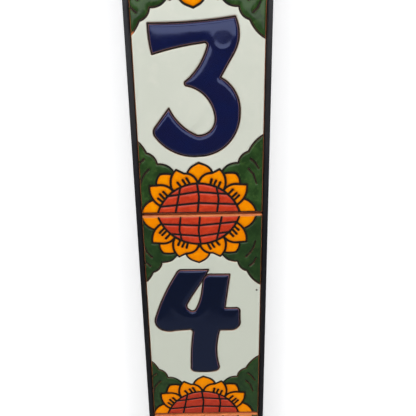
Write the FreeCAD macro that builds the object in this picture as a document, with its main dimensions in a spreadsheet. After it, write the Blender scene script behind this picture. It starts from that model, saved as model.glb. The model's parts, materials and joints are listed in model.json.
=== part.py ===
import FreeCAD, Part
import os
import Sketcher

from FreeCAD import Placement, Rotation, Vector

# House number plaque: glazed clay tiles bedded in a frame of welded angle iron.
#
# X runs to the right, Z up, and the tiles face -Y. The plane y = 0 is the wall. The origin is the
# middle of the back, halfway between the two screw holes. All sizes are millimetres.
#
# A tile is a terracotta body with its drawing laid on in separate pools of glaze. Between two
# pools runs a line of bare clay that the potter drew in black, so each pool stops half a line
# short of the line's middle.

doc = FreeCAD.newDocument("house_number_plaque")

# Driving dimensions: alias, value, what it is
SIZES = (
    ("tile_width", 77.0, "a nominal 3 in tile, pressed a little full"),
    ("tile_height", 152.4, "the upper number tile, 6 in"),
    ("lower_tile_height", 153.6, "the lower number tile, pressed a little taller"),
    ("end_tile_height", 50.8, "the two closing tiles, 2 in"),
    ("clay_thickness", 7.0, "terracotta body of every tile"),
    ("edge_radius", 0.25, "rounding of the tile's corners and front edges"),
    ("bare_rim", 0.7, "bare clay between the glaze and the tile's top and bottom"),
    ("side_rim", 0.3, "bare clay between the glaze and the tile's sides"),
    ("joint", 1.4, "open joint between two tiles"),
    ("side_clearance", 0.4, "from the tiles to the iron around them"),
    ("angle_leg", 12.7, "1/2 in angle iron, both legs"),
    ("angle_steel", 3.2, "1/8 in steel"),
    ("root_radius", 2.0, "inside corner of the rolled angle"),
    ("toe_radius", 0.9, "rounded toe of each leg"),
    ("weld_leg", 3.0, "weld bead in the corners of the opening"),
    ("screw_hole", 4.0, "clear hole for a wall screw"),
    ("screw_head", 7.0, "countersink at the face of the flange"),
    ("adhesive_depth", 1.5, "bed between flange and tile"),
    ("adhesive_width", 5.6, "width of a bead of adhesive"),
    ("groove_width", 3.0, "keying groove in the back of a tile"),
    ("groove_depth", 0.8, "depth of the keying grooves"),
    ("groove_edge", 11.1, "tile edge to the first groove's middle"),
    ("groove_pitch", 9.0, "from one groove to the next"),
    ("glaze_depth", 0.9, "thickness of the flat glaze"),
    ("petal_depth", 1.1, "glaze of flower and leaves, a little thicker"),
    ("digit_depth", 1.9, "the blue of the digits, poured thickest"),
    ("line_width", 0.85, "drawn line between two pools of glaze"),
    ("drawing_shift", -2.1, "the drawing's axis from the tile's middle"),
    ("digit_clearance", 3.4, "from a digit up or down to the flower's tip"),
)

sheet = doc.addObject("Spreadsheet::Sheet", "Sizes")
for row, (alias, number, meaning) in enumerate(SIZES, start=1):
    sheet.set(f"A{row}", meaning)
    sheet.set(f"B{row}", str(number))
    sheet.setAlias(f"B{row}", alias)
doc.recompute()


def size(alias):
    """The value of one driving dimension, as the sheet holds it."""
    return float(sheet.get(alias))


# Places worked out from the sheet, as expressions that the objects are bound to
FRAME_WIDTH = "(Sizes.tile_width + 2 * Sizes.side_clearance + 2 * Sizes.angle_steel)"
NUMBER_TILES_HEIGHT = "(Sizes.tile_height + Sizes.lower_tile_height)"
TILES_HEIGHT = f"({NUMBER_TILES_HEIGHT} + 2 * Sizes.end_tile_height + 3 * Sizes.joint)"
FRAME_HEIGHT = f"({TILES_HEIGHT} + 2 * Sizes.side_clearance + 2 * Sizes.angle_steel)"
FLANGE_MIDDLE = "((Sizes.angle_steel + Sizes.root_radius + Sizes.angle_leg - Sizes.toe_radius) / 2)"
TILE_BACK = "(Sizes.angle_steel + Sizes.adhesive_depth)"
TILE_FACE = f"({TILE_BACK} + Sizes.clay_thickness)"

BOTTOM_END_Z = f"(-{TILES_HEIGHT} / 2)"
NUMBER_4_Z = f"({BOTTOM_END_Z} + Sizes.end_tile_height + Sizes.joint)"
NUMBER_3_Z = f"({NUMBER_4_Z} + Sizes.lower_tile_height + Sizes.joint)"
TOP_END_Z = f"({NUMBER_3_Z} + Sizes.tile_height + Sizes.joint)"


# Sketches and bodies


def new_body(label):
    body = doc.addObject("PartDesign::Body", label)
    body.Label = label
    return body


def new_sketch(body, name, plane, offset="0"):
    """A sketch on one of the body's own origin planes, moved along its normal by an expression."""
    sketch = body.newObject("Sketcher::SketchObject", name)
    origin_plane = [f for f in body.Origin.OriginFeatures if f.Role == plane][0]
    sketch.AttachmentSupport = [(origin_plane, "")]
    sketch.MapMode = "FlatFace"
    sketch.setExpression("AttachmentOffset.Base.z", offset)
    return sketch


def draw_polygon(sketch, corners):
    """Draw a closed polygon whose corners are pairs of expressions, each corner fully placed."""
    first = sketch.GeometryCount
    count = len(corners)
    for index in range(count):
        start = Vector(index, index * index, 0)
        after = (index + 1) % count
        sketch.addGeometry(Part.LineSegment(start, Vector(after, after * after, 0)), False)
    for index, (across, up) in enumerate(corners):
        line = first + index
        before = first + (index - 1) % count
        sketch.addConstraint(Sketcher.Constraint("Coincident", before, 2, line, 1))
        for kind, place in (("DistanceX", across), ("DistanceY", up)):
            number = sketch.addConstraint(Sketcher.Constraint(kind, -1, 1, line, 1, 1.0))
            sketch.setExpression(f"Constraints[{number}]", place)


def draw_circle(sketch, across, up, diameter):
    circle = sketch.addGeometry(Part.Circle(Vector(1, 1, 0), Vector(0, 0, 1), 1.0), False)
    for kind, place in (("DistanceX", across), ("DistanceY", up)):
        number = sketch.addConstraint(Sketcher.Constraint(kind, -1, 1, circle, 3, 1.0))
        sketch.setExpression(f"Constraints[{number}]", place)
    number = sketch.addConstraint(Sketcher.Constraint("Diameter", circle, 2.0))
    sketch.setExpression(f"Constraints[{number}]", diameter)


def add_feature(body, kind, name, profile, length, reverse=False):
    """A Pad or a Pocket of a sketch, its length bound to an expression."""
    feature = body.newObject(kind, name)
    feature.Profile = profile
    feature.Reversed = reverse
    feature.setExpression("Length", length)
    doc.recompute()
    return feature


def dress_edges(body, kind, name, base, wanted, setting, expression):
    """A Fillet or Chamfer on the edges of the base that the test picks."""
    names = [f"Edge{n}" for n, edge in enumerate(base.Shape.Edges, start=1) if wanted(edge)]
    feature = body.newObject(kind, name)
    feature.Base = (base, names)
    feature.setExpression(setting, expression)
    doc.recompute()
    return feature


def is_near(first, second):
    return abs(first - second) < 1e-4


# The angle-iron frame


def angle_section(side, outer):
    """The rolled L as (along the wall, off the wall): one leg on the wall, the other round the tiles."""
    edge = f"{outer} * {side}"
    inner = f"({outer} - Sizes.angle_leg) * {side}"
    web = f"({outer} - Sizes.angle_steel) * {side}"
    return (
        (edge, "0"),
        (inner, "0"),
        (inner, "-Sizes.angle_steel"),
        (web, "-Sizes.angle_steel"),
        (web, "-Sizes.angle_leg"),
        (edge, "-Sizes.angle_leg"),
    )


def round_the_angle(body, bar, upright):
    """Round the root and the two toes of a rolled angle, found by where their edges run."""
    steel, leg = size("angle_steel"), size("angle_leg")
    bounds = bar.Shape.BoundBox
    outer = bounds.XMax if upright else bounds.ZMax
    low = bounds.XMin if upright else bounds.ZMin
    outer = outer if outer > 0 else low

    def lies_at(edge, inwards, off_wall):
        box = edge.BoundBox
        across, run = (box.Center.x, box.ZLength) if upright else (box.Center.z, box.XLength)
        width = box.XLength if upright else box.ZLength
        is_lengthwise = run > leg and is_near(width, 0) and is_near(box.YLength, 0)
        return is_lengthwise and is_near(abs(outer - across), inwards) and is_near(-box.Center.y, off_wall)

    root = dress_edges(
        body, "PartDesign::Fillet", "root", bar,
        lambda edge: lies_at(edge, steel, steel), "Radius", "Sizes.root_radius",
    )
    return dress_edges(
        body, "PartDesign::Chamfer", "toes", root,
        lambda edge: lies_at(edge, steel, leg) or lies_at(edge, leg, steel),
        "Size", "Sizes.toe_radius",
    )


def make_bar(label, upright, side):
    """One bar of the frame, mitred at both ends. Stiles stand upright, rails lie across."""
    body = new_body(label)
    outer, length = (FRAME_WIDTH, FRAME_HEIGHT) if upright else (FRAME_HEIGHT, FRAME_WIDTH)
    half, end = f"({outer} / 2)", f"({length} / 2)"
    section = new_sketch(body, "section", "XY_Plane" if upright else "YZ_Plane", f"-{end}")
    corners = angle_section(side, half)
    if not upright:
        corners = [(off_wall, along_wall) for along_wall, off_wall in corners]
    draw_polygon(section, corners)
    bar = add_feature(body, "PartDesign::Pad", "bar", section, length)

    # Seen square on, each mitre takes a triangle off the end
    mitres = new_sketch(body, "mitres", "XZ_Plane")
    for up in (1, -1):
        inner = f"({half} - Sizes.angle_leg) * {side}"
        triangle = [
            (f"{half} * {side}", f"{end} * {up}"),
            (inner, f"{end} * {up}"),
            (inner, f"({end} - Sizes.angle_leg) * {up}"),
        ]
        if not upright:
            triangle = [(along, across) for across, along in triangle]
        draw_polygon(mitres, triangle)
    mitred = add_feature(body, "PartDesign::Pocket", "mitre", mitres, "Sizes.angle_leg", reverse=True)
    rounded = round_the_angle(body, mitred, upright)
    if not upright:
        drill_for_screw(body, f"({half} - {FLANGE_MIDDLE}) * {side}")
    return body


def drill_for_screw(rail, up):
    """A countersunk hole through the middle of the rail's flange, for a screw driven from the front."""
    screw = new_sketch(rail, "screw", "XZ_Plane")
    draw_circle(screw, "0", up, "Sizes.screw_hole")
    add_feature(rail, "PartDesign::Pocket", "screw_hole", screw, "Sizes.angle_steel", reverse=True)
    sink = rail.newObject("PartDesign::SubtractiveCone", "countersink")
    sink.Placement = Placement(Vector(), Rotation(Vector(1, 0, 0), 90))
    depth = "(Sizes.screw_head - Sizes.screw_hole) / 2"
    sink.setExpression("Radius1", "Sizes.screw_hole / 2")
    sink.setExpression("Radius2", "Sizes.screw_head / 2")
    sink.setExpression("Height", depth)
    sink.setExpression("Placement.Base.y", f"{depth} - Sizes.angle_steel")
    sink.setExpression("Placement.Base.z", up)
    doc.recompute()


def make_corner_welds(label):
    """The bead in each corner of the opening, where two flanges meet. The faces are ground flush."""
    outline = doc.addObject("Sketcher::SketchObject", f"{label}_outline")
    outline.Placement = Placement(Vector(), Rotation(Vector(1, 0, 0), 90))
    for right in (1, -1):
        for up in (1, -1):
            across = f"({FRAME_WIDTH} / 2 - Sizes.angle_leg) * {right}"
            height = f"({FRAME_HEIGHT} / 2 - Sizes.angle_leg) * {up}"
            draw_polygon(outline, [
                (across, height),
                (f"{across} - Sizes.weld_leg * {right}", height),
                (across, f"{height} - Sizes.weld_leg * {up}"),
            ])
    welds = doc.addObject("Part::Extrusion", label)
    welds.Label = label
    welds.Base = outline
    welds.DirMode = "Normal"
    welds.Solid = True
    welds.setExpression("LengthFwd", "Sizes.angle_steel - Sizes.toe_radius")
    return welds


def make_adhesive_bead(label, upright, side):
    """A bead of adhesive along one flange. It fills the space between the flange and the tiles."""
    bead = doc.addObject("Part::Box", label)
    bead.Label = label
    outer, length = (FRAME_WIDTH, FRAME_HEIGHT) if upright else (FRAME_HEIGHT, FRAME_WIDTH)
    run, across = ("Height", "Length") if upright else ("Length", "Height")
    run_axis, across_axis = ("z", "x") if upright else ("x", "z")
    bead.setExpression(run, f"{length} - 2 * Sizes.angle_leg")
    bead.setExpression(across, "Sizes.adhesive_width")
    bead.setExpression("Width", "Sizes.adhesive_depth")
    middle = f"({outer} / 2 - {FLANGE_MIDDLE}) * {side}"
    bead.setExpression(f"Placement.Base.{across_axis}", f"{middle} - Sizes.adhesive_width / 2")
    bead.setExpression(f"Placement.Base.{run_axis}", f"Sizes.angle_leg - {length} / 2")
    bead.setExpression("Placement.Base.y", f"-{TILE_BACK}")
    return bead


# The clay bodies


def make_clay(label, height, bottom):
    """A pressed terracotta body: rounded at the front, keyed with grooves at the back."""
    body = new_body(label)
    half = "Sizes.tile_width / 2"
    outline = new_sketch(body, "outline", "XZ_Plane", TILE_BACK)
    draw_polygon(outline, [(f"-{half}", "0"), (half, "0"), (half, height), (f"-{half}", height)])
    slab = add_feature(body, "PartDesign::Pad", "slab", outline, "Sizes.clay_thickness")

    groove = new_sketch(body, "groove", "XZ_Plane", TILE_BACK)
    middle = f"(Sizes.groove_edge - {half})"
    left = f"{middle} - Sizes.groove_width / 2"
    right = f"{middle} + Sizes.groove_width / 2"
    draw_polygon(groove, [(left, "0"), (right, "0"), (right, height), (left, height)])
    keyed = add_feature(
        body, "PartDesign::Pocket", "keying", groove, "Sizes.groove_depth", reverse=True
    )
    row = body.newObject("PartDesign::LinearPattern", "keying_row")
    row.Originals = [keyed]
    row.Direction = (groove, ["H_Axis"])
    row_length = size("tile_width") - 2 * size("groove_edge")
    row.Occurrences = 1 + round(row_length / size("groove_pitch"))
    row.setExpression("Length", "Sizes.tile_width - 2 * Sizes.groove_edge")
    body.Tip = row
    doc.recompute()

    back, face = -slab.Shape.BoundBox.YMax, -slab.Shape.BoundBox.YMin
    half_width, top = slab.Shape.BoundBox.XMax, slab.Shape.BoundBox.ZMax

    def is_rounded(edge):
        box = edge.BoundBox
        is_front = is_near(-box.YMin, face) and is_near(-box.YMax, face)
        is_corner = is_near(abs(box.Center.x), half_width) and is_near(box.YLength, face - back)
        return is_front or is_corner

    dress_edges(
        body, "PartDesign::Chamfer", "rounding", row, is_rounded, "Size", "Sizes.edge_radius"
    )
    body.setExpression("Placement.Base.z", bottom)
    doc.recompute()
    return body


# Drawn outlines
#
# Outlines are flat faces with the tile's width along X and its height along Y, and are stood up
# when they become glaze. The drawing was measured on a tile of the width below, with the flower's
# axis at 0 and its heights counted from the tile's edge. It grows with the tile.

DRAWN_WIDTH = 77.0
DRAWN_FLOWER_REACH = 33.0

DISC_MIDDLE = (0, -8.0)
DISC_RADIUS = 27.4

# A step of two numbers is a straight line to a point. A step of four is an arc through the first
# pair to the second. Each outline closes itself, and one of a pair has a mirrored twin.
UPPER_PETAL = ((0.3, 19.3), (3.0, 24.2, 8.6, 25.9), (13.5, 28.4), (17.2, 21.4, 16.0, 15.0), (4, 12))
LOWER_PETAL = ((15.9, 14.8), (19.6, 17.9, 23.6, 18.8), (30.7, 18.4), (29.7, 11.3, 23.8, 5.0), (16, 5))
BACK_MIDDLE_PETAL = (
    (-7.2, 24.0), (-5.4, 28.6, -2.0, 31.3), (0.5, 32.6), (4.2, 31.2), (7.6, 28.9, 9.7, 24.5),
    (0, 18),
)
BACK_UPPER_PETAL = ((15.0, 25.3), (19.7, 26.0, 23.8, 25.6), (26.0, 21.8, 26.2, 17.5), (16, 14))
BACK_LOWER_PETAL = ((27.2, 9.7), (33.5, 6.5, 37.0, -1.0), (20, -1), (22, 8))
LEAF = (
    (41.0, 49.3), (34.6, 44.2, 31.3, 38.9), (27.2, 36.6, 25.1, 32.0), (19.6, 31.1, 14.9, 26.8),
    (10, 18), (14, -1), (46, -1), (46, 49.3),
)

# The bare lines that part the disc
DISC_LINES = (
    ((-11.2, 17.4), (-13.2, 8.0), (-15.1, -1.0)),
    ((-0.9, 20.4), (0.4, 10.5), (-0.9, -1.0)),
    ((11.2, 18.2), (12.8, 9.5), (11.5, -1.0)),
    ((-21.0, 11.2), (-1.0, 14.0), (21.0, 12.1)),
    ((-26.6, 4.5), (0.0, 6.8), (26.6, 5.5)),
)

# The digits, drawn from the middle of the tile
DIGIT_3 = (
    (-28.6, 35.9), (-4.0, 36.3, 20.9, 38.8), (23.0, 30.6, 19.8, 18.8), (15.9, 12.4, 12.3, 6.3),
    (22.3, -4.7, 23.7, -14.2), (17.3, -31.4, -1.1, -39.4), (-15.5, -37.1, -27.2, -27.6),
    (-28.2, -24.7, -26.6, -21.0), (-18.5, -10.7), (-11.9, -20.3, -2.0, -26.9),
    (5.5, -24.7, 8.9, -15.7), (4.8, -5.7, -7.0, 1.8), (-8.7, 3.0, -7.6, 4.7),
    (0.7, 14.1, 4.9, 23.4), (4.6, 24.8, 2.6, 25.3), (-12.5, 23.0, -27.0, 19.4),
    (-28.2, 27.6, -28.6, 35.9),
)
DIGIT_4 = (
    (-15.7, 39.3), (3.6, 39.2), (0.7, 33.4), (2.8, 35.4, 5.9, 35.7), (17.7, 35.6),
    (15.9, 22.2, 14.3, 10.6), (21.2, 10.4), (23.7, 9.8, 24.5, 7.2), (24.5, 1.2),
    (23.6, -4.1, 19.6, -6.7), (10.6, -6.7), (8.4, -19.3, 9.8, -35.1), (9.4, -38.4, 6.9, -39.9),
    (-0.5, -40.6, -6.7, -40.1), (-9.5, -38.7, -9.9, -35.8), (-9.4, -21.3, -7.9, -7.8),
    (-8.9, -6.2, -11.5, -5.9), (-20.9, -6.5), (-26.4, -6.8, -30.4, -5.1), (-33.4, -1.3, -33.6, 3.2),
    (-27.2, 19.9, -17.3, 38.0),
)
DIGIT_4_COUNTER = (
    (-0.2, 32.1), (-8.3, 19.6), (-11.2, 14.5), (-11.7, 11.4, -9.9, 9.3), (-7.5, 8.5, -5.4, 10.1),
    (-3.0, 15.7, -1.5, 21.8),
)
DIGIT_4_NOTCH = ((-0.2, 31.3), (0.1, 32.8), (0.7, 34.3))


def flower_place(across, up):
    """A point of the flower on a real tile, with the flower standing on the bottom edge."""
    scale = size("tile_width") / DRAWN_WIDTH
    return Vector(size("drawing_shift") + across * scale, up * scale, 0)


def digit_place_on(height, steps):
    """Where the points of a digit with this outline lie on a tile.

    The digit keeps its proportions. It grows with the tile's width and with the height that the two
    flowers leave free, and stays close to the smaller of the two where they differ.
    """
    width_scale = size("tile_width") / DRAWN_WIDTH
    room = height / 2 - DRAWN_FLOWER_REACH * width_scale - size("digit_clearance")
    height_scale = room / max(abs(up) for step in steps for up in step[1::2])
    scale = ((width_scale ** -24 + height_scale ** -24) / 2) ** (-1 / 24)
    return lambda across, up: Vector(across * scale, height / 2 + up * scale, 0)


def outline_face(steps, place):
    """The flat face inside a drawn outline."""
    here = start = place(*steps[0])
    edges = []
    for step in steps[1:] + (steps[0],):
        there = place(*step[-2:])
        if here.distanceToPoint(there) < 1e-6:
            continue
        if len(step) == 4:
            edges.append(Part.Arc(here, place(*step[:2]), there).toShape())
        else:
            edges.append(Part.LineSegment(here, there).toShape())
        here = there
    return Part.Face(Part.Wire(edges))


def mirrored(steps):
    """The same outline on the other side of the flower's axis."""
    return tuple(
        tuple(-number if index % 2 == 0 else number for index, number in enumerate(step))
        for step in steps
    )


def stroke_face(points, place):
    """The bare line that a brush leaves along straight runs, cut square at both ends."""
    path = [place(*point) for point in points]
    left, right = [], []
    for before, point, after in zip([path[0]] + path, path, path[1:] + [path[-1]]):
        along = (after - before).normalize()
        aside = Vector(-along.y, along.x, 0) * (size("line_width") / 2)
        left.append(point + aside)
        right.append(point - aside)
    corners = left + right[::-1]
    return Part.Face(Part.makePolygon(corners + corners[:1]))


def grown(face, distance):
    """The face grown by a distance, or shrunk by a negative one, with corners cut off straight."""
    faces = []
    for result in face.makeOffset2D(distance, 0, False, False).Faces:
        edges = []
        for edge in result.OuterWire.OrderedEdges:
            curve = edge.Curve
            is_join = isinstance(curve, Part.Circle) and is_near(curve.Radius, abs(distance))
            if is_join:
                start, end = edge.Vertexes[0].Point, edge.Vertexes[-1].Point
                edge = Part.LineSegment(start, end).toShape()
            edges.append(edge)
        faces.append(Part.Face(Part.Wire(edges)))
    return faces


def drawn_inside(faces):
    """Each face pulled in by half a line, so that a whole line is left between two neighbours."""
    inset = size("line_width") / 2
    smallest = (2 * inset) ** 2 * 2
    pools = []
    for face in faces:
        if face.Area > smallest:
            pools.extend(grown(face, -inset))
    return pools


def without(faces, cutters):
    """What the cutters leave of each face, as single clean faces."""
    return [rest for face in faces for rest in face.cut(cutters).removeSplitter().Faces]


def inside(faces, region):
    """What of each face lies inside the region."""
    return [shared for face in faces for shared in face.common(region).Faces]


def glazed_region(height):
    """The flat face of a tile, less the bare rim all round."""
    half_width, rim = size("tile_width") / 2 - size("side_rim"), size("bare_rim")
    return Part.makePlane(2 * half_width, height - 2 * rim, Vector(-half_width, rim, 0))


def draw_half_flower():
    """The glaze of half a sunflower with its leaves, on the bottom edge of a tile of any length.

    It still runs over the tile's edges, where each tile cuts it off.
    """
    scale = size("tile_width") / DRAWN_WIDTH
    disc = Part.Face(Part.Wire(Part.Circle(
        flower_place(*DISC_MIDDLE), Vector(0, 0, 1), DISC_RADIUS * scale).toShape()))

    def pair(steps):
        return [outline_face(s, flower_place) for s in (steps, mirrored(steps))]

    front = pair(UPPER_PETAL) + pair(LOWER_PETAL)
    back = [outline_face(BACK_MIDDLE_PETAL, flower_place)]
    back += pair(BACK_UPPER_PETAL) + pair(BACK_LOWER_PETAL)
    leaves = pair(LEAF)
    disc_lines = [stroke_face(line, flower_place) for line in DISC_LINES]

    petals_shown = without(front, [disc]) + without(back, [disc] + front)
    leaves_shown = without(leaves, [disc] + front + back)
    half_line = size("line_width") / 2
    return {
        "red": without(drawn_inside([disc]), disc_lines),
        "yellow": drawn_inside(petals_shown),
        "green": drawn_inside(leaves_shown),
        "outline": [f for face in [disc] + front + back + leaves for f in grown(face, half_line)],
    }


def turned_over(faces, height):
    """The faces turned by half a turn about the drawing's axis, to the tile's top edge."""
    middle = Vector(size("drawing_shift"), height / 2, 0)
    return [face.rotated(middle, Vector(0, 0, 1), 180) for face in faces]


def draw_digit(height, steps, counter=None, notch=None):
    """A digit's blue pools on a tile, and its whole outline with the line round it."""
    half_line = size("line_width") / 2
    place = digit_place_on(height, steps)
    outline = outline_face(steps, place)
    blue, surround = grown(outline, -half_line), grown(outline, half_line)
    if counter is None:
        return blue, surround
    hollow = outline_face(counter, place)
    blue = without(blue, grown(hollow, half_line) + [stroke_face(notch, place)])
    return blue, without(surround, grown(hollow, -half_line))


# Glaze

DEPTH_OF = {
    "white": "glaze_depth",
    "green": "petal_depth",
    "yellow": "petal_depth",
    "red": "petal_depth",
    "blue": "digit_depth",
}
SMALLEST_POOL = 2.0


def glaze_of_tile(height, flower, flower_ends, digit):
    """The pools on one tile by colour. The flower stands at the bottom end, the top end or both."""
    glazed = glazed_region(height)
    pools = {kind: [] for kind in flower}
    for end in flower_ends:
        for kind, faces in flower.items():
            placed = faces if end == "bottom" else turned_over(faces, height)
            pools[kind].extend(inside(placed, glazed))
    blue, surround = draw_digit(height, *digit) if digit else ([], [])
    white = without([glazed], pools.pop("outline") + surround)
    pools["white"] = [face for face in white if face.Area > SMALLEST_POOL]
    pools["blue"] = blue
    return pools


def make_glaze(colour, faces):
    """All pools of one colour, standing on the faces of the tiles."""
    depth = size(DEPTH_OF[colour])
    glaze = doc.addObject("Part::Feature", f"{colour}_glaze")
    glaze.Label = f"{colour}_glaze"
    glaze.Shape = Part.makeCompound([face.extrude(Vector(0, 0, depth)) for face in faces])
    glaze.Placement = Placement(Vector(), Rotation(Vector(1, 0, 0), 90))
    glaze.setExpression("Placement.Base.y", f"-{TILE_FACE}")
    return glaze


# The plaque

parts = [
    make_bar("left_stile", True, -1),
    make_bar("right_stile", True, 1),
    make_bar("top_rail", False, 1),
    make_bar("bottom_rail", False, -1),
    make_corner_welds("corner_welds"),
    make_adhesive_bead("left_adhesive", True, -1),
    make_adhesive_bead("right_adhesive", True, 1),
    make_adhesive_bead("top_adhesive", False, 1),
    make_adhesive_bead("bottom_adhesive", False, -1),
]

# Each tile: its name, its height, its bottom edge, the ends with half a flower, and its digit's
# outlines
half_flower = draw_half_flower()
TILES = (
    ("top_end_tile", "end_tile_height", TOP_END_Z, ("bottom",), None),
    ("number_3_tile", "tile_height", NUMBER_3_Z, ("bottom", "top"), (DIGIT_3,)),
    ("number_4_tile", "lower_tile_height", NUMBER_4_Z, ("bottom", "top"),
     (DIGIT_4, DIGIT_4_COUNTER, DIGIT_4_NOTCH)),
    ("bottom_end_tile", "end_tile_height", BOTTOM_END_Z, ("top",), None),
)
pools_of = {colour: [] for colour in DEPTH_OF}
for label, height, bottom, flower_ends, digit in TILES:
    clay = make_clay(label, f"Sizes.{height}", bottom)
    parts.append(clay)
    lift = Vector(0, clay.Placement.Base.z, 0)
    for colour, faces in glaze_of_tile(size(height), half_flower, flower_ends, digit).items():
        pools_of[colour].extend(face.translated(lift) for face in faces)
parts += [make_glaze(colour, faces) for colour, faces in pools_of.items()]

doc.recompute()

for item in doc.Objects:
    if "Invalid" in item.State or "Error" in item.State:
        raise RuntimeError(f"{item.Label} did not recompute: {item.State}")
for part in parts:
    if part.Shape.isNull() or not part.Shape.isValid() or part.Shape.Volume <= 0:
        raise RuntimeError(f"{part.Label} has no valid shape")

os.makedirs("parts", exist_ok=True)
for part in parts:
    part.Shape.exportStep(f"parts/{part.Label}.step")
    print(part.Label, len(part.Shape.Solids), "solids", round(part.Shape.Volume, 1), "mm3")
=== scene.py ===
# %% [markdown]
# A house number of glazed clay tiles in a frame of black angle iron, screwed flat to a wall.
#
# The potter draws on the clay with a greasy black line and fills the fields between the lines with
# liquid glaze. The glaze draws back from the grease, so each field dries and fires as a raised,
# rounded pool. The rigid model has those pools as flat plates. Here they become real pools, and
# every surface gets its finish.

# %% Load the rigid model
import json
import math

import bpy
import numpy as np
from mathutils import Matrix, Vector

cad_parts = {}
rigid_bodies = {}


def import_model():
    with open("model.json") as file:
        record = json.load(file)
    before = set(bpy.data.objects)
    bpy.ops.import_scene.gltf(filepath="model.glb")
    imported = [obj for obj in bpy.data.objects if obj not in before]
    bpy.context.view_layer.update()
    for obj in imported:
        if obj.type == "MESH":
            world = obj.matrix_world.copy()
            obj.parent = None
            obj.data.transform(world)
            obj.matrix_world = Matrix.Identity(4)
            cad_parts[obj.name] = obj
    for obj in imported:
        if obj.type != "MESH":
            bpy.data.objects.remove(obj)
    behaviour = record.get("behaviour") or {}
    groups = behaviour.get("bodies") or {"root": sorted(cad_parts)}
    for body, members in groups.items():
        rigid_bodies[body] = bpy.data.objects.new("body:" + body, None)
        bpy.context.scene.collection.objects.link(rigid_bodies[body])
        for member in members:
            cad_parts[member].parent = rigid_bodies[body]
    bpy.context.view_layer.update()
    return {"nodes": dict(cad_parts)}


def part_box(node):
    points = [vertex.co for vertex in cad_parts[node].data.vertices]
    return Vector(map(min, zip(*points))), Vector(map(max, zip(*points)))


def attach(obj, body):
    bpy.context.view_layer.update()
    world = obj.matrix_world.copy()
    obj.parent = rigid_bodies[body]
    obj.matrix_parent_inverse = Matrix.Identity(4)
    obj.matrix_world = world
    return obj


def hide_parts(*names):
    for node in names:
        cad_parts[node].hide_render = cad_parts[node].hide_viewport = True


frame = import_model()
MM = 0.001

# %% [markdown]
# All places come from the rigid model, so the looks follow it if it changes. The clay faces of the
# four tiles lie in one plane, and a pool's height is counted from there towards the viewer (-Y). The
# drawing stands a little to the left of the tiles' middle. A hair is a length too small to matter.

# %% Places on the plaque
TILES = ("top_end_tile", "number_3_tile", "number_4_tile", "bottom_end_tile")
tile_box = {name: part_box(name) for name in TILES}
CLAY_FACE = tile_box["number_3_tile"][0].y
HALF_WIDTH = tile_box["number_3_tile"][1].x
white_low, white_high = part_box("white_glaze")
SIDE_RIM = HALF_WIDTH - white_high.x
END_RIM = tile_box["top_end_tile"][1].z - white_high.z
DRAWING_AXIS = -2.1 * MM
HAIR = 0.01 * MM
print("clay face at", round(CLAY_FACE / MM, 2), "mm, half width", round(HALF_WIDTH / MM, 2), "mm")

# %% [markdown]
# The camera stands a little above the join between the two numbers and looks down. Its place comes
# from fitting the frame's two long edges and the tiles' heights, which both taper in the picture.
# A camera is turned by a matrix whose columns are its right, its up and the way behind it.

# %% The camera
CAMERA_PLACE = Vector((3.45, -259.3, 73.7)) * MM
YAW, PITCH, ROLL = 0.00147, 0.27216, -0.01638
FOCAL_LENGTH = 34.85

forward = Vector((
    math.sin(YAW) * math.cos(PITCH),
    math.cos(YAW) * math.cos(PITCH),
    -math.sin(PITCH),
))
level_right = Vector((math.cos(YAW), -math.sin(YAW), 0))
level_up = level_right.cross(forward)
right = math.cos(ROLL) * level_right + math.sin(ROLL) * level_up
up = math.cos(ROLL) * level_up - math.sin(ROLL) * level_right

camera_data = bpy.data.cameras.new("camera")
camera_data.sensor_width = 36
camera_data.lens = FOCAL_LENGTH
camera_data.clip_start = 0.01
camera = bpy.data.objects.new("camera", camera_data)
bpy.context.scene.collection.objects.link(camera)
turn = Matrix((right, up, -forward)).transposed().to_4x4()
camera.matrix_world = Matrix.Translation(CAMERA_PLACE) @ turn
bpy.context.scene.camera = camera
print("camera", [round(n / MM, 1) for n in CAMERA_PLACE], "mm")

# %% [markdown]
# Modelling by hand means: pick one object, go to edit mode, select some faces, use an operator.
# These helpers do the picking. Faces are found by where they are and which way they look.

# %% Picking objects and faces


def take(piece):
    """Make the piece the one selected and active object."""
    if bpy.context.mode != "OBJECT":
        bpy.ops.object.mode_set(mode="OBJECT")
    bpy.ops.object.select_all(action="DESELECT")
    piece.select_set(True)
    bpy.context.view_layer.objects.active = piece


def pick_faces(piece, wanted):
    """Go to edit mode with just the faces selected whose middle and normal pass the test."""
    take(piece)
    bpy.ops.object.mode_set(mode="EDIT")
    bpy.ops.mesh.select_mode(type="FACE")
    bpy.ops.mesh.select_all(action="DESELECT")
    bpy.ops.object.mode_set(mode="OBJECT")
    for face in piece.data.polygons:
        face.select = wanted(face.center, face.normal)
    bpy.ops.object.mode_set(mode="EDIT")


def looks_forward(middle, normal):
    return normal.y < -0.9


# %% [markdown]
# The petals carry short brush strokes and the leaves carry veins, left bare like the outlines. Each
# stroke is a small block through the glaze. They are drawn for one half flower that stands on the
# bottom edge of a tile, in millimetres from the drawing's axis and from that edge. The potter turned
# the stencil by half a turn for the top edge, so the strokes turn with it: a half flower is given by
# the height of its tile's edge, and by 1 if it stands up from there or -1 if it hangs down.
#
# A Boolean modifier then cuts the strokes all out, because a stroke may cross from the middle of a
# pool to its edge.

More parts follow.
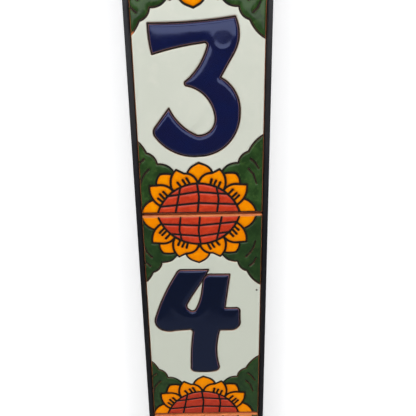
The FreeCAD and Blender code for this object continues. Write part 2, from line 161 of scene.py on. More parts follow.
# %% Where the strokes are
PETAL_STROKES = (
    ((-12.9, 20.2), (-11.1, 17.9)),
    ((-9.6, 21.7), (-7.9, 19.1)),
    ((-7.2, 22.9), (-5.4, 19.6)),
    ((-22.0, 14.4), (-19.8, 12.0)),
    ((-24.2, 12.9), (-21.7, 10.2)),
    ((-25.5, 10.2), (-23.3, 8.2)),
    ((8.5, 22.0), (7.7, 19.1)),
    ((11.2, 21.1), (10.0, 18.4)),
    ((13.9, 19.9), (12.7, 17.3)),
    ((21.7, 15.2), (19.5, 12.9)),
    ((24.0, 12.9), (21.5, 10.5)),
    ((25.6, 11.4), (23.3, 9.1)),
)
LEAF_VEINS = (
    ((-33.2, 35.2), (-35.5, 33.2)),
    ((-35.5, 33.2), (-37.0, 30.0)),
    ((-30.5, 28.8), (-33.2, 26.1)),
    ((-33.2, 26.1), (-35.2, 22.6)),
    ((-35.2, 22.6), (-36.4, 18.4)),
    ((32.8, 34.5), (35.6, 32.0)),
    ((35.6, 32.0), (37.7, 28.5)),
    ((31.5, 28.2), (34.5, 24.9)),
    ((34.5, 24.9), (36.5, 19.1)),
)
FLOWER_ENDS = (
    (tile_box["top_end_tile"][0].z, 1),
    (tile_box["number_3_tile"][1].z, -1),
    (tile_box["number_3_tile"][0].z, 1),
    (tile_box["number_4_tile"][1].z, -1),
    (tile_box["number_4_tile"][0].z, 1),
    (tile_box["bottom_end_tile"][1].z, -1),
)
print(len(PETAL_STROKES), "strokes and", len(LEAF_VEINS), "veins at", len(FLOWER_ENDS), "tile edges")

# %% [markdown]
# A brush starts round and full and ends a little thinner. So a stroke starts as a short round bar
# through the glaze. The points of one half of it are pulled out to the stroke's end, and drawn
# together there. The strokes on the petals run on a little, to meet the line round the red middle.

# %% Carving the strokes
STROKE_WIDTH = 1.1
STROKE_DEPTH = 6.0
STROKE_TAPER = 0.8
OVERRUN = 0.9


def carve_stroke(start, end, overrun):
    """A tapered block from one point of the wall plane past another, through the whole glaze."""
    run = end - start
    length = run.length + overrun * MM
    bpy.ops.object.select_all(action="DESELECT")
    bpy.ops.mesh.primitive_cylinder_add(
        vertices=8, radius=STROKE_WIDTH / 2 * MM, depth=STROKE_DEPTH * MM, location=(0, 0, 0),
        rotation=(math.radians(90), 0, 0),
    )
    stroke = bpy.context.object
    bpy.ops.object.transform_apply(location=False, rotation=True, scale=False)
    pick_faces(stroke, lambda middle, normal: False)
    bpy.ops.object.mode_set(mode="OBJECT")
    for vertex in stroke.data.vertices:
        vertex.select = vertex.co.x > HAIR
    bpy.ops.object.mode_set(mode="EDIT")
    bpy.ops.mesh.select_mode(type="VERT")
    bpy.ops.transform.resize(value=(1, 1, STROKE_TAPER), center_override=(0, 0, 0))
    bpy.ops.transform.translate(value=(length, 0, 0))
    bpy.ops.object.mode_set(mode="OBJECT")
    stroke.rotation_euler = (0, -math.atan2(run.y, run.x), 0)
    stroke.location = (start.x, CLAY_FACE, start.y)
    bpy.ops.object.transform_apply(location=True, rotation=True, scale=False)
    return stroke


def carve_strokes(lines, name, overrun):
    """All strokes of one kind, joined into one cutter."""
    strokes = []
    for edge, way in FLOWER_ENDS:
        for line in lines:
            places = [
                Vector((DRAWING_AXIS + way * across * MM, edge + way * along * MM))
                for across, along in line
            ]
            strokes.append(carve_stroke(*places, overrun))
    take(strokes[0])
    for stroke in strokes:
        stroke.select_set(True)
    bpy.ops.object.join()
    cutter = bpy.context.object
    cutter.name = name
    print(name, len(strokes))
    return cutter


petal_cutter = carve_strokes(PETAL_STROKES, "petal_strokes", OVERRUN)
vein_cutter = carve_strokes(LEAF_VEINS, "leaf_veins", 0.0)

# %% [markdown]
# A pool of glaze meets the clay at a steep edge, bends over within half a millimetre, and swells
# towards its middle, more so where the glaze was poured thick. So each flat plate of glaze gets
# rings of new faces along its edge, by Inset, and a fine grid inside, by Bisect. Then every point
# of the front is raised by how much room it has.
#
# The room is not the plain distance to the edge, which has a crease half way. It adds up the pull
# of every piece of the edge, and falls smoothly to nothing there. The sum takes a table of points
# by pieces of edge, so the points are worked through in batches.

# %% The room in a pool
BATCH = 2000


def edge_of_pools(piece):
    """The border of the front faces as pairs of points in the wall plane."""
    mesh = piece.data
    sides = {}
    for face in mesh.polygons:
        if looks_forward(face.center, face.normal):
            for key in face.edge_keys:
                sides[key] = sides.get(key, 0) + 1
    places = [mesh.vertices[n].co for key, count in sides.items() if count == 1 for n in key]
    return np.array([(p.x, p.z) for p in places]).reshape(-1, 2, 2)


def room_at(points, edge):
    """How far each point lies from the edge, smoothed so that it has no crease anywhere."""
    start, end = edge[:, 0], edge[:, 1]
    length = np.linalg.norm(end - start, axis=1)
    along = (end - start) / length[:, None]
    room = np.empty(len(points))
    for first in range(0, len(points), BATCH):
        part = points[first:first + BATCH]
        away = part[:, None, :] - start[None]
        before = (away * along).sum(axis=2)
        gap = np.maximum((away ** 2).sum(axis=2) - before ** 2, HAIR ** 2)
        after = before - length
        pull = (before / np.sqrt(gap + before ** 2) - after / np.sqrt(gap + after ** 2)) / gap
        room[first:first + BATCH] = np.sqrt(2 / pull.sum(axis=1))
    return room


# %% [markdown]
# A pool starts as a copy of its flat plates. The rigid model's mesh is loose triangles, so the copy's
# points are joined up first. Cutting takes the strokes out of it, and the cutter isn't needed after
# that.

# %% Copying and cutting the plates


def copy_pools(node, name):
    """A copy of the plates of one glaze, with their triangles joined up."""
    take(frame["nodes"][node])
    bpy.ops.object.duplicate()
    piece = bpy.context.object
    bpy.ops.object.parent_clear(type="CLEAR_KEEP_TRANSFORM")
    piece.name = piece.data.name = name
    piece.data.materials.clear()
    pick_faces(piece, lambda middle, normal: True)
    bpy.ops.mesh.remove_doubles(threshold=0.001 * MM)
    bpy.ops.mesh.normals_make_consistent(inside=False)
    bpy.ops.object.mode_set(mode="OBJECT")
    return piece


def cut_out(piece, cutter):
    """Take the cutter's volume out of the piece, and remove the cutter."""
    take(piece)
    cut = piece.modifiers.new("strokes", "BOOLEAN")
    cut.object = cutter
    cut.operation = "DIFFERENCE"
    cut.solver = "EXACT"
    cut.use_self = True
    bpy.ops.object.modifier_apply(modifier="strokes")
    bpy.data.objects.remove(cutter)


# %% [markdown]
# The lip bends most at the edge, so the rings start narrow there and widen. Inside them a grid is
# enough. It could come from a remesh, but that would round off the drawn outline.

# %% Rings and a grid
RINGS = (0.10, 0.14, 0.20, 0.30)


def add_rings(piece):
    """Inset the front faces in rings. The faces inside the last ring stay selected in edit mode."""
    pick_faces(piece, looks_forward)
    for width in RINGS:
        bpy.ops.mesh.inset(
            thickness=width * MM, depth=0, use_boundary=True, use_even_offset=False
        )


def add_grid(piece, spacing):
    """Cut the selected faces by two rows of planes."""
    bpy.ops.mesh.hide(unselected=True)
    low, high = (Vector(piece.bound_box[n]) for n in (0, 6))
    spacing *= 1.0
    for axis, normal in ((0, (1, 0, 0)), (2, (0, 0, 1))):
        place = low[axis] + spacing / 2
        while place < high[axis]:
            bpy.ops.mesh.select_all(action="SELECT")
            point = [0, 0, 0]
            point[axis] = place
            bpy.ops.mesh.bisect(plane_co=point, plane_no=normal)
            place += spacing
    bpy.ops.mesh.reveal(select=False)


# %% [markdown]
# The height of a point is the sum of two soft steps: the lip, mostly over within half a
# millimetre, and the swell, which goes on for one or two. In a few places the thick glaze ran a
# little while it was molten and stopped in a curved ridge, highest at its lower side. Each ridge is
# an arc given by its middle, its radius, its width and its height in millimetres, and it fades
# where there is less than two millimetres of room.

# %% Raising a pool
FOOT = 0.12 * MM
RIDGES = (
    (13.9, 104.9, 5.8, 1.5, 0.16),
    (-9.0, -60.0, 12.0, 2.5, 0.12),
    (16.6, 54.0, 1.6, 0.6, 0.06),
)
RIDGE_ROOM = 2 * MM
NO_AREA = 0.0005 * MM
SMOOTH_ANGLE = math.radians(50)


def raise_front(piece, edge, lip, lip_width, swell, swell_width, depth):
    """Lift each point of the front: a steep lip at the edge, and a slow swell behind it."""
    bpy.ops.object.mode_set(mode="OBJECT")
    mesh = piece.data
    places = np.empty(len(mesh.vertices) * 3)
    mesh.vertices.foreach_get("co", places)
    places = places.reshape(-1, 3)
    is_front = places[:, 1] < CLAY_FACE - FOOT
    room = room_at(places[is_front][:, (0, 2)], edge)
    height = lip * (1 - np.exp(-room / lip_width)) + swell * (1 - np.exp(-room / swell_width))
    height *= (depth - FOOT) / height.max()
    for across, up, radius, width, rise in RIDGES:
        aside = places[is_front, 0] / MM - across
        above = places[is_front, 2] / MM - up
        crest = np.exp(-((np.hypot(aside, above) - radius) / width) ** 2)
        low_side = np.clip((radius - above) / (2 * radius), 0, 1)
        height += rise * MM * crest * low_side * np.minimum(room / RIDGE_ROOM, 1)
    places[is_front, 1] = CLAY_FACE - FOOT - height
    mesh.vertices.foreach_set("co", places.ravel())
    mesh.update()


def settle(piece, node):
    """Clear away faces with no area, smooth the pools and put them in the place of the plates."""
    pick_faces(piece, lambda middle, normal: True)
    bpy.ops.mesh.dissolve_degenerate(threshold=NO_AREA)
    take(piece)
    bpy.ops.object.shade_smooth_by_angle(angle=SMOOTH_ANGLE)
    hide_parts(node)
    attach(piece, "root")
    print(piece.name, len(piece.data.polygons), "faces")
    return piece


def pour(node, name, cutter, spacing, lip, lip_width, swell, swell_width):
    """Turn the flat plates of one glaze into swelling pools. Lengths are in millimetres."""
    depth = CLAY_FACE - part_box(node)[0].y
    piece = copy_pools(node, name)
    if cutter is not None:
        cut_out(piece, cutter)
    edge = edge_of_pools(piece)
    add_rings(piece)
    add_grid(piece, spacing * MM)
    raise_front(piece, edge, lip, lip_width * MM, swell, swell_width * MM, depth)
    return settle(piece, node)


# %% [markdown]
# The white lies flat between all the other colours, in wide fields with thin tongues. Any unevenness
# shows in its mirror-smooth face. So it gets no grid, and its lip is made of insets that go up.

# %% Pouring a flat pool
LEVEL_RINGS = RINGS + (0.30,)
RING_RISES = (0.34, 0.30, 0.22, 0.14, 0.0)
SAME_LEVEL = 0.001 * MM


def fill_again():
    """Put new faces in place of the selected ones, drawn from nothing but their outline."""
    bpy.ops.mesh.delete(type="FACE")
    bpy.ops.mesh.select_mode(type="EDGE")
    bpy.ops.mesh.select_non_manifold(
        extend=False, use_wire=False, use_boundary=True, use_multi_face=False,
        use_non_contiguous=False, use_verts=False,
    )
    bpy.ops.mesh.fill(use_beauty=True)
    bpy.ops.mesh.select_all(action="SELECT")
    bpy.ops.mesh.normals_make_consistent(inside=False)


def pour_flat(node, name):
    """Turn flat plates of glaze into pools that bend over at the edge and lie level inside.

    An inset can turn a thin face over, so after each ring the inside is filled again. The last ring
    is level too, so that the shading inside it stays perfectly flat.
    """
    depth = CLAY_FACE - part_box(node)[0].y
    piece = copy_pools(node, name)
    pick_faces(piece, looks_forward)
    bpy.ops.transform.translate(value=(0, depth - FOOT, 0))
    level = CLAY_FACE - FOOT
    for width, share in zip(LEVEL_RINGS, RING_RISES):
        rise = share * (depth - FOOT)
        pick_faces(piece, lambda middle, normal: middle.y < level + SAME_LEVEL)
        bpy.ops.mesh.inset(
            thickness=width * MM, depth=rise, use_boundary=True, use_even_offset=False
        )
        fill_again()
        level -= rise
    bpy.ops.object.mode_set(mode="OBJECT")
    return settle(piece, node)


# %% [markdown]
# The white is poured thin and lies flat. The flower's colours are small pools that swell a little.
# The blue of the digits is poured thickest and stands like a cushion, which is what gives the
# numbers their broad soft highlights.

# %% The pools of glaze
white_pools = pour_flat("white_glaze", "white_pools")
green_pools = pour(
    "green_glaze", "green_pools", vein_cutter,
    spacing=1.0, lip=0.75, lip_width=0.3, swell=0.4, swell_width=2.2,
)
yellow_pools = pour(
    "yellow_glaze", "yellow_pools", petal_cutter,
    spacing=1.0, lip=0.75, lip_width=0.3, swell=0.4, swell_width=1.8,
)
red_pools = pour(
    "red_glaze", "red_pools", None,
    spacing=0.8, lip=0.75, lip_width=0.3, swell=0.45, swell_width=1.2,
)
blue_pools = pour(
    "blue_glaze", "blue_pools", None,
    spacing=0.9, lip=1.0, lip_width=0.3, swell=0.9, swell_width=1.25,
)

# %% [markdown]
# A finish is a small graph of nodes. Written as Python sums it stays readable: Value wraps one
# output of a node, and adding or multiplying Values adds the Math nodes. Numbers alone are worked
# out in Python.

# %% Sums of node outputs


class Value:
    """One output of a node in a finish."""

    def __init__(self, finish, socket):
        self.finish = finish
        self.socket = socket

    def __add__(self, other):
        return self.finish.math("ADD", self, other)

    def __radd__(self, other):
        return self.finish.math("ADD", other, self)

    def __sub__(self, other):
        return self.finish.math("SUBTRACT", self, other)

    def __rsub__(self, other):
        return self.finish.math("SUBTRACT", other, self)

    def __mul__(self, other):
        return self.finish.math("MULTIPLY", self, other)

    def __rmul__(self, other):
        return self.finish.math("MULTIPLY", other, self)

    def __lt__(self, other):
        return self.finish.math("LESS_THAN", self, other)

    def __gt__(self, other):
        return self.finish.math("GREATER_THAN", self, other)


# %% [markdown]
# Every other node comes from one method, node(). The methods after it are the few things that the
# finishes are made of: noise, a smooth rise between two numbers, a blend of two colours, a round
# spot and a relief. They all read the piece's own coordinates, so a pattern stays on its piece.

# %% A finish and its nodes


class Finish:
    """A material while its nodes are being written."""

    def __init__(self, name):
        self.material = bpy.data.materials.new(name)
        self.material.use_nodes = True
        self.tree = self.material.node_tree
        self.tree.nodes.clear()
        self.place = self.node("ShaderNodeTexCoord", output="Object")

    def node(self, kind, settings=None, inputs=None, output=0):
        """Add one node: its type, its settings, then the values or links of its sockets."""
        node = self.tree.nodes.new(kind)
        for name, setting in (settings or {}).items():
            setattr(node, name, setting)
        for name, value in (inputs or {}).items():
            if isinstance(value, Value):
                self.tree.links.new(value.socket, node.inputs[name])
            else:
                node.inputs[name].default_value = value
        return None if output is None else Value(self, node.outputs[output])

    def math(self, operation, first, second=0.0):
        """One Math node."""
        return self.node("ShaderNodeMath", {"operation": operation}, {0: first, 1: second})

    def noise(self, across_mm, detail=3.0, roughness=0.5):
        """Noise whose patches are about so many millimetres across."""
        inputs = {
            "Vector": self.place,
            "Scale": 1 / (across_mm * MM),
            "Detail": detail,
            "Roughness": roughness,
        }
        return self.node("ShaderNodeTexNoise", {}, inputs, "Fac")

    def between(self, value, low, high, to_low=0.0, to_high=1.0):
        """The value's way from low to high as a smooth rise between two numbers."""
        inputs = {
            "Value": value,
            "From Min": low,
            "From Max": high,
            "To Min": to_low,
            "To Max": to_high,
        }
        return self.node("ShaderNodeMapRange", {"interpolation_type": "SMOOTHSTEP"}, inputs)

    def cells(self, across_mm):
        """The distance from the nearest of many points, about so many millimetres apart."""
        inputs = {"Vector": self.place, "Scale": 1 / (across_mm * MM), "Randomness": 1.0}
        return self.node("ShaderNodeTexVoronoi", {"feature": "F1"}, inputs, "Distance")

    def blend(self, share, first, second):
        """One colour turning into another."""
        inputs = {0: share, 6: solid(first), 7: solid(second)}
        return self.node("ShaderNodeMix", {"data_type": "RGBA"}, inputs, 2)

    def axis(self, letter):
        """One coordinate in millimetres."""
        apart = self.node("ShaderNodeSeparateXYZ", {}, {0: self.place}, letter)
        return apart * (1 / MM)

    def spot(self, place_mm, radius_mm, core_mm):
        """A soft round mask about one point of the plaque, which is whole inside its core."""
        inputs = {0: self.place, 1: [n * MM for n in place_mm]}
        away = self.node("ShaderNodeVectorMath", {"operation": "DISTANCE"}, inputs, "Value")
        return self.between(away, radius_mm * MM, core_mm * MM)

    def bump(self, height, depth_mm, normal=None):
        """A relief so many millimetres deep."""
        inputs = {"Height": height, "Distance": depth_mm * MM}
        if normal is not None:
            inputs["Normal"] = normal
        return self.node("ShaderNodeBump", {}, inputs)

    def surface(self, **sockets):
        """Finish the material with a Principled surface. Underscores stand for spaces."""
        inputs = {name.replace("_", " "): value for name, value in sockets.items()}
        shader = self.node("ShaderNodeBsdfPrincipled", {}, inputs)
        self.node("ShaderNodeOutputMaterial", {}, {"Surface": shader}, None)
        return self.material


def solid(colour):
    """A colour socket takes four numbers. A colour that is worked out stays as it is."""
    return colour if isinstance(colour, Value) else (*colour, 1.0)


def dress(piece, material):
    """Give a piece one finish all over."""
    if piece.data.materials:
        for number in range(len(piece.data.materials)):
            piece.data.materials[number] = material
    else:
        piece.data.materials.append(material)


# %% [markdown]
# Every glaze thins out towards the edge of its pool, where the red clay shines through as a fine
# brown rim. The height over the clay face tells where that is. In the pool the colour drifts, the
# surface waves a little, and small pits are left where gas came out of the clay.
#
# The black of the drawn line creeps under the rim round a flower and along the leaves, so each of
# them has a zone: how far from the flower's middle or the drawing's axis it starts, and from where
# it is whole. Along the sides of a tile, and just under a joint, the rim lies against bare clay.

# %% The zones of the rim
LINE_BLACK = (0.012, 0.008, 0.006)
CLAY_ORANGE = (0.60, 0.22, 0.08)
FLOWER_MIDDLES = [
    (upper[0] + lower[0]) / 2 / MM for upper, lower in zip(FLOWER_ENDS[::2], FLOWER_ENDS[1::2])
]
FLOWER_ZONE = (39, 37)
BESIDE_PETALS = (16, 18)
OUTER_LEAVES = (25.5, 27)
OFF_SIDE = [white_high.x / MM - gap for gap in (0.6, 1.2)]
LEAF_CREEP = 0.28
JOINT_REACH = 1.9
print("flowers at heights", [round(height, 2) for height in FLOWER_MIDDLES], "mm")

# %% [markdown]
# The five glazes share one recipe and differ in their colours, the size of their patches, and how
# far the rim reaches. The lower tiles are painted darker, from the middle joint down, as painted
# shade where the light falls off downwards.

# %% The recipe of the glazes
# Painted shade starts at the middle joint: the glazes below it are painted darker.
LOWER_SHADE_START = FLOWER_MIDDLES[1]


def glaze_finish(name, colours, thin, patch_mm, roughness, waves_mm, rim, lower):
    """A glossy glaze of three colours that drift into one another, browner where it is thin.

    Below a given height a share of a darker colour is mixed in, as painted shade where the light
    falls off downwards. The rim is given by the heights between which it ends, its colour, and how
    black it is at the leaves. Round a flower the drawn line creeps under it, so it is all black
    there, but not where it lies against a bare joint.
    """
    rim_low, rim_high, rim_colour, leaf_share = rim
    finish = Finish(name)
    height = (CLAY_FACE / MM) - finish.axis("Y")
    drift = finish.noise(patch_mm, 4.0, 0.55)
    streak = finish.noise(patch_mm * 0.28, 3.0, 0.6)
    colour = finish.blend(finish.between(drift, 0.36, 0.62), colours[0], colours[1])
    colour = finish.blend(finish.between(streak, 0.5, 0.78) * 0.6, colour, colours[2])
    shade_share, shade_colour, start = lower
    # Painted shade: below the start height a share of a darker colour is mixed in, where the light
    # falls off.
    is_shaded_lower = finish.between(finish.axis("Z"), start + 0.1, start)
    colour = finish.blend(is_shaded_lower * shade_share, colour, shade_colour)
    near_rim = finish.between(height, rim_high, rim_high + 0.3)
    colour = finish.blend(near_rim, thin, colour)
    across = finish.axis("X")
    aside = finish.math("ABSOLUTE", across - DRAWING_AXIS / MM)
    off_side = finish.between(finish.math("ABSOLUTE", across), *OFF_SIDE)
    at_leaves = finish.between(aside, *OUTER_LEAVES) * off_side
    for middle in FLOWER_MIDDLES:
        round_flower = finish.spot((DRAWING_AXIS / MM, CLAY_FACE / MM, middle), *FLOWER_ZONE)
        rim_colour = finish.blend(round_flower, rim_colour, LINE_BLACK)
        beside_petals = round_flower * finish.between(aside, *BESIDE_PETALS) * off_side
        at_leaves = finish.math("MAXIMUM", at_leaves, beside_petals)
        above = finish.axis("Z") - middle
        under_joint = (above > -JOINT_REACH) * (above < 0)
        rim_colour = finish.blend(under_joint, rim_colour, CLAY_ORANGE)
    rim_colour = finish.blend(at_leaves * leaf_share, rim_colour, LINE_BLACK)
    wobble = finish.noise(1.6, 2.0) * 0.14 - 0.07
    creep = at_leaves * (leaf_share * LEAF_CREEP)
    thickness = finish.between(height + wobble - creep, rim_low, rim_high)
    colour = finish.blend(thickness, rim_colour, colour)
    pit = finish.between(finish.cells(3.2), 0.045, 0.09)
    waves = finish.noise(6.5, 2.0, 0.4)
    ripple = finish.noise(1.1, 2.0, 0.5)
    relief = finish.bump(waves, waves_mm)
    relief = finish.bump(ripple, waves_mm * 0.06, relief)
    relief = finish.bump(pit, 0.03, relief)
    gloss = roughness + finish.noise(9.0, 3.0) * 0.08 + (1 - thickness) * 0.35
    return finish, colour, relief, gloss


# %% [markdown]
# The white has a tint of green and two specks that came with the firing. The blue is nearly black
# in itself and gets its colour from a bluish gloss. The green is the patchiest. The yellow mirrors
# with its own tint. The red of the bottom tile is painted darkest, as painted shade low on the
# plaque.

# %% The five glazes


def white_finish():
    finish, colour, relief, gloss = glaze_finish(
        "white_glaze",
        colours=((0.69, 0.71, 0.62), (0.665, 0.69, 0.60), (0.72, 0.73, 0.64)),
        thin=(0.64, 0.56, 0.45), patch_mm=26, roughness=0.10, waves_mm=0.05,
        rim=(0.18, 0.52, (0.46, 0.20, 0.11), 0.8),
        lower=(0.85, (0.62, 0.65, 0.555), LOWER_SHADE_START),
    )
    brown_speck = finish.spot((35.7, white_low.y / MM, -53.1), 0.9, 0.45)
    red_speck = finish.spot((-4.3, white_low.y / MM, 42.6), 0.8, 0.4)
    colour = finish.blend(brown_speck, colour, (0.04, 0.03, 0.02))
    colour = finish.blend(red_speck, colour, (0.62, 0.08, 0.03))
    return finish.surface(Base_Color=colour, Roughness=gloss, Normal=relief)


def blue_finish():
    finish, colour, relief, gloss = glaze_finish(
        "blue_glaze",
        colours=((0.0020, 0.0052, 0.050), (0.0036, 0.0044, 0.041), (0.0046, 0.0058, 0.054)),
        thin=(0.014, 0.014, 0.07), patch_mm=14, roughness=0.06, waves_mm=0.035,
        rim=(0.45, 1.05, (0.26, 0.105, 0.075), 0.0),
        lower=(0.9, (0.0008, 0.0032, 0.0130), LOWER_SHADE_START),
    )
    return finish.surface(
        Base_Color=colour, Roughness=gloss, Normal=relief,
        IOR=1.6, Specular_IOR_Level=0.95, Specular_Tint=(0.52, 0.61, 1.0, 1.0),
    )


def green_finish():
    finish, colour, relief, gloss = glaze_finish(
        "green_glaze",
        colours=((0.031, 0.080, 0.018), (0.016, 0.046, 0.010), (0.064, 0.125, 0.028)),
        thin=(0.022, 0.050, 0.012), patch_mm=7, roughness=0.09, waves_mm=0.06,
        rim=(0.12, 0.46, (0.22, 0.08, 0.04), 0.0),
        lower=(0.5, (0.011, 0.029, 0.010), LOWER_SHADE_START),
    )
    return finish.surface(Base_Color=colour, Roughness=gloss, Normal=relief)


def yellow_finish():
    finish, colour, relief, gloss = glaze_finish(
        "yellow_glaze",
        colours=((1.0, 0.33, 0.0), (0.96, 0.27, 0.0), (1.0, 0.41, 0.002)),
        thin=(0.80, 0.20, 0.0), patch_mm=9, roughness=0.09, waves_mm=0.05,
        rim=(0.48, 0.80, (0.030, 0.010, 0.004), 0.0),
        lower=(0.3, (0.90, 0.22, 0.0), LOWER_SHADE_START),
    )
    return finish.surface(
        Base_Color=colour, Roughness=gloss, Normal=relief, Specular_Tint=(1.0, 0.75, 0.12, 1.0)
    )


def red_finish():
    finish, colour, relief, gloss = glaze_finish(
        "red_glaze",
        colours=((0.62, 0.048, 0.012), (0.52, 0.034, 0.009), (0.72, 0.072, 0.018)),
        thin=(0.50, 0.04, 0.014), patch_mm=7, roughness=0.10, waves_mm=0.05,
        rim=(0.34, 0.64, (0.030, 0.008, 0.004), 0.0),
        # The red of the bottom tile gets the most painted shade.
        lower=(0.5, (0.30, 0.022, 0.010), -100),
    )
    return finish.surface(Base_Color=colour, Roughness=gloss, Normal=relief)


dress(white_pools, white_finish())
dress(blue_pools, blue_finish())
dress(green_pools, green_finish())
dress(yellow_pools, yellow_finish())
dress(red_pools, red_finish())
print("glazes done")

# %% [markdown]
# The clay body shows in the joints and round the rim of each tile. It is pressed red clay with fine
# grit in it. Between the pools its face carries the drawn line: a matt black that wears to brown,
# most of all round the leaves. A mask of the face inside each tile's rim tells the line from the
# bare clay. Along a tile's bottom edge the line runs on down to the edge, where its black is also
# painted shade of the joint below.

# %% The terracotta and the drawn line
LINE_MARGIN = 0.15


def terracotta_finish():
    """Red clay all over, with the drawn line on its face. Lengths are in millimetres."""
    finish = Finish("terracotta")
    across, off_wall, height = (finish.axis(letter) for letter in "XYZ")
    grain = finish.noise(0.5, 4.0, 0.7)
    patches = finish.noise(7.0, 4.0, 0.6)
    speck = finish.between(finish.cells(1.3), 0.18, 0.08)
    patch = finish.between(patches, 0.35, 0.68)
    clay = finish.blend(patch, (0.80, 0.26, 0.085), (0.64, 0.18, 0.055))
    clay = finish.blend(finish.between(grain, 0.45, 0.75) * 0.5, clay, (0.86, 0.40, 0.19))
    clay = finish.blend(speck * 0.6, clay, (0.23, 0.075, 0.04))

    on_face = off_wall < CLAY_FACE / MM + 0.06
    edge = (HALF_WIDTH - SIDE_RIM) / MM + 0.1
    wander = finish.noise(2.5, 3.0) * 0.3 - 0.15
    in_width = finish.math("ABSOLUTE", across + wander) < edge
    in_height = None
    for low, high in tile_box.values():
        # The black runs on down to the bottom edge, where it is also painted shade of the joint
        # below.
        bottom = low.z / MM + LINE_MARGIN
        top = (high.z - END_RIM) / MM - LINE_MARGIN
        here = (height + wander > bottom) * (height + wander < top)
        in_height = here if in_height is None else in_height + here
    chip = finish.spot((-38.0, CLAY_FACE / MM, 107.9), 2.4, 1.2)
    line = on_face * in_width * in_height * (1 - chip)
    worn = finish.between(finish.noise(1.0, 4.0, 0.65), 0.60, 0.78)
    black = finish.blend(worn, (0.0075, 0.0065, 0.007), (0.05, 0.02, 0.012))
    beside = finish.between(finish.math("ABSOLUTE", across - DRAWING_AXIS / MM), 24, 31)
    black = finish.blend(beside * 0.3, black, (0.040, 0.016, 0.009))
    colour = finish.blend(line, clay, black)
    relief = finish.bump(grain, 0.09)
    relief = finish.bump(speck, 0.05, relief)
    gloss = finish.between(line, 0.0, 1.0, 0.88, 0.55)
    return finish.surface(Base_Color=colour, Roughness=gloss, Normal=relief)


terracotta = terracotta_finish()
for name in TILES:
    dress(frame["nodes"][name], terracotta)
print("terracotta on", len(TILES), "tiles")

# %% [markdown]
# The frame is rolled angle iron, mitred, welded and painted black. Paint on rolled steel is never
# quite even: it waves with the steel, has a fine orange peel of its own, and is duller and greyer
# where dust settles. Its colour is also painted lighter towards the top and deeper black lower down,
# as painted light and shade. The weld beads lie under the same paint.

# %% The painted iron


def iron_finish(name, ripple_mm, ripple_depth):
    finish = Finish(name)
    broad = finish.noise(24.0, 3.0, 0.5)
    skin = finish.noise(ripple_mm, 4.0, 0.6)
    orange_peel = finish.noise(0.45, 2.0, 0.5)
    patch = finish.between(broad, 0.35, 0.66)
    colour = finish.blend(patch, (0.0115, 0.0115, 0.0145), (0.022, 0.022, 0.026))
    # Painted light and shade: the colour is lighter towards the top and deeper black lower down.
    upper = finish.between(finish.axis("Z"), -60, 120)
    colour = finish.blend(upper, (0.0060, 0.0060, 0.0085), colour)
    dust = finish.between(finish.noise(3.0, 5.0, 0.7), 0.56, 0.80)
    colour = finish.blend(dust * 0.5, colour, (0.060, 0.058, 0.055))
    relief = finish.bump(skin, ripple_depth)
    relief = finish.bump(orange_peel, 0.012, relief)
    gloss = 0.32 + broad * 0.12 + dust * 0.25
    return finish.surface(Base_Color=colour, Roughness=gloss, Normal=relief)


painted_iron = iron_finish("black_iron", 5.0, 0.10)
painted_weld = iron_finish("black_weld", 1.2, 0.35)
for name in ("left_stile", "right_stile", "top_rail", "bottom_rail"):
    dress(frame["nodes"][name], painted_iron)
dress(frame["nodes"]["corner_welds"], painted_weld)
print("black paint on the bars and the welds")

# %% [markdown]
# A bead of grey tile adhesive beds each edge of the tiles on the flange. It is only seen from
# behind, where it is a pale, finely gritty mortar pressed flat.

# %% The adhesive


def adhesive_finish():
    finish = Finish("adhesive")
    grain = finish.noise(0.6, 4.0, 0.7)
    patches = finish.noise(8.0, 3.0, 0.5)
    patch = finish.between(patches, 0.35, 0.65)
    colour = finish.blend(patch, (0.40, 0.39, 0.36), (0.30, 0.29, 0.27))
    colour = finish.blend(finish.between(grain, 0.5, 0.8) * 0.5, colour, (0.50, 0.49, 0.46))
    relief = finish.bump(grain, 0.12)
    return finish.surface(Base_Color=colour, Roughness=0.9, Normal=relief)


adhesive = adhesive_finish()
for side in ("left", "right", "top", "bottom"):
    dress(frame["nodes"][f"{side}_adhesive"], adhesive)
print("mortar on the beads of adhesive")

# %% [markdown]
# The plaque hangs on a plain white wall over a pale floor. The wall lies just behind the back of the
# frame, so that the frame throws its soft shadow on it. Seen from behind, the wall is left out, to
# show the back of the plaque.

# %% The wall and the floor
WALL_GAP = 0.4 * MM
FLOOR_HEIGHT = -0.9
WHITE_STRENGTH = 2.7


def add_sheet(name, size, place, turn):
    """A square sheet of the stage, which isn't part of the object."""
    bpy.ops.object.select_all(action="DESELECT")
    bpy.ops.mesh.primitive_plane_add(size=size, location=place, rotation=turn)
    sheet = bpy.context.object
    sheet.name = name
    return sheet


def backdrop_finish(name, colour, glow, is_one_sided):
    """Matt white. Part of its brightness is its own, so that it comes out white in the picture."""
    finish = Finish(name)
    matt = finish.node("ShaderNodeBsdfDiffuse", {}, {"Color": (*colour, 1.0)})
    white = {"Color": (1.0, 1.0, 1.0, 1.0), "Strength": WHITE_STRENGTH}
    light = finish.node("ShaderNodeEmission", {}, white)
    clear = finish.node("ShaderNodeBsdfTransparent", {}, {})
    seen = finish.node("ShaderNodeLightPath", {}, {}, "Is Camera Ray")
    mirrored = finish.node("ShaderNodeLightPath", {}, {}, "Is Glossy Ray")
    passed = finish.node("ShaderNodeLightPath", {}, {}, "Is Transmission Ray")
    shown = finish.math("MAXIMUM", finish.math("MAXIMUM", seen, mirrored), passed)
    shader = finish.node("ShaderNodeMixShader", {}, {0: shown * glow, 1: matt, 2: light})
    if is_one_sided:
        behind = finish.node("ShaderNodeNewGeometry", {}, {}, "Backfacing")
        hidden = finish.math("MAXIMUM", behind, 1 - shown)
        shader = finish.node("ShaderNodeMixShader", {}, {0: hidden, 1: shader, 2: clear})
    finish.node("ShaderNodeOutputMaterial", {}, {"Surface": shader}, None)
    return finish.material


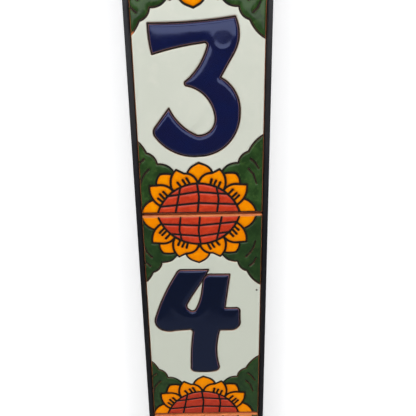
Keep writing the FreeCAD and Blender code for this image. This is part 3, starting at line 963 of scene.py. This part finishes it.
wall = add_sheet("wall", 6.0, (0, WALL_GAP, 0), (math.radians(90), 0, 0))
dress(wall, backdrop_finish("white_wall", (0.90, 0.90, 0.91), 0.16, True))
floor = add_sheet("floor", 8.0, (0, 0, FLOOR_HEIGHT), (0, 0, 0))
dress(floor, backdrop_finish("pale_floor", (0.80, 0.80, 0.79), 0.30, False))
floor.visible_glossy = False
print("wall", round(WALL_GAP / MM, 2), "mm behind the frame, floor at", FLOOR_HEIGHT, "m")

# %% [markdown]
# A wide window stands low in front and a soft bank hangs above it. The flat top of a pool mirrors
# the window only above a certain height on the plaque, where the view glances off it upwards: so the
# upper digit has a broad highlight on its top stroke, and further down just the steep upper flanks
# catch the bank. Far down, the view glances off downwards to a dim pale table. Two fill lights at the
# sides throw the soft shadow beside the frame, and with a dim world they lift the dark sides. They
# are kept out of the reflections, because a glossy glaze looks deep only while it mirrors something
# dark.

# %% The lights


def add_area(name, place, aim, width, height, radiance, is_mirrored):
    """An area light of a given brightness, turned to a point."""
    data = bpy.data.lights.new(name, "AREA")
    data.shape = "RECTANGLE"
    data.size = width
    data.size_y = height
    data.energy = radiance * math.pi * width * height
    light = bpy.data.objects.new(name, data)
    bpy.context.scene.collection.objects.link(light)
    light.location = place
    light.rotation_euler = (Vector(place) - Vector(aim)).to_track_quat("Z", "Y").to_euler()
    light.visible_glossy = is_mirrored
    light.visible_camera = False
    print(name, round(data.energy, 2), "W")


add_area("window", (-0.10, -1.40, 0.60), (0, 0, 0.05), 2.6, 0.58, 1.2, True)
add_area("soft_bank", (-0.1, -0.70, 0.98), (0, 0, 0), 1.5, 0.62, 1.35, True)
add_area("table", (0, -0.75, -0.85), (0, 0, 0), 2.2, 0.62, 0.12, True)
add_area("left_fill", (-1.30, -0.60, 0.62), (0, 0, 0), 1.1, 1.6, 3.15, False)
add_area("right_fill", (1.30, -0.60, 0.62), (0, 0, 0), 1.1, 1.6, 3.25, False)

# %% [markdown]
# The world is the room round the plaque. The camera sees it white, and everything else gets a dim
# even light from it.

# %% The room
DIM_STRENGTH = 0.10

world = bpy.data.worlds.new("room")
bpy.context.scene.world = world
world.use_nodes = True
nodes = world.node_tree.nodes
nodes.clear()
light_path = nodes.new("ShaderNodeLightPath")
dim = nodes.new("ShaderNodeBackground")
dim.inputs["Color"].default_value = (0.95, 0.97, 1.0, 1.0)
dim.inputs["Strength"].default_value = DIM_STRENGTH
bright = nodes.new("ShaderNodeBackground")
bright.inputs["Color"].default_value = (1.0, 1.0, 1.0, 1.0)
either = nodes.new("ShaderNodeMixShader")
out = nodes.new("ShaderNodeOutputWorld")
links = world.node_tree.links
links.new(light_path.outputs["Is Camera Ray"], either.inputs[0])
links.new(dim.outputs[0], either.inputs[1])
links.new(bright.outputs[0], either.inputs[2])
links.new(either.outputs[0], out.inputs[0])

bpy.context.scene.view_settings.view_transform = "Standard"
print("dim light", DIM_STRENGTH)
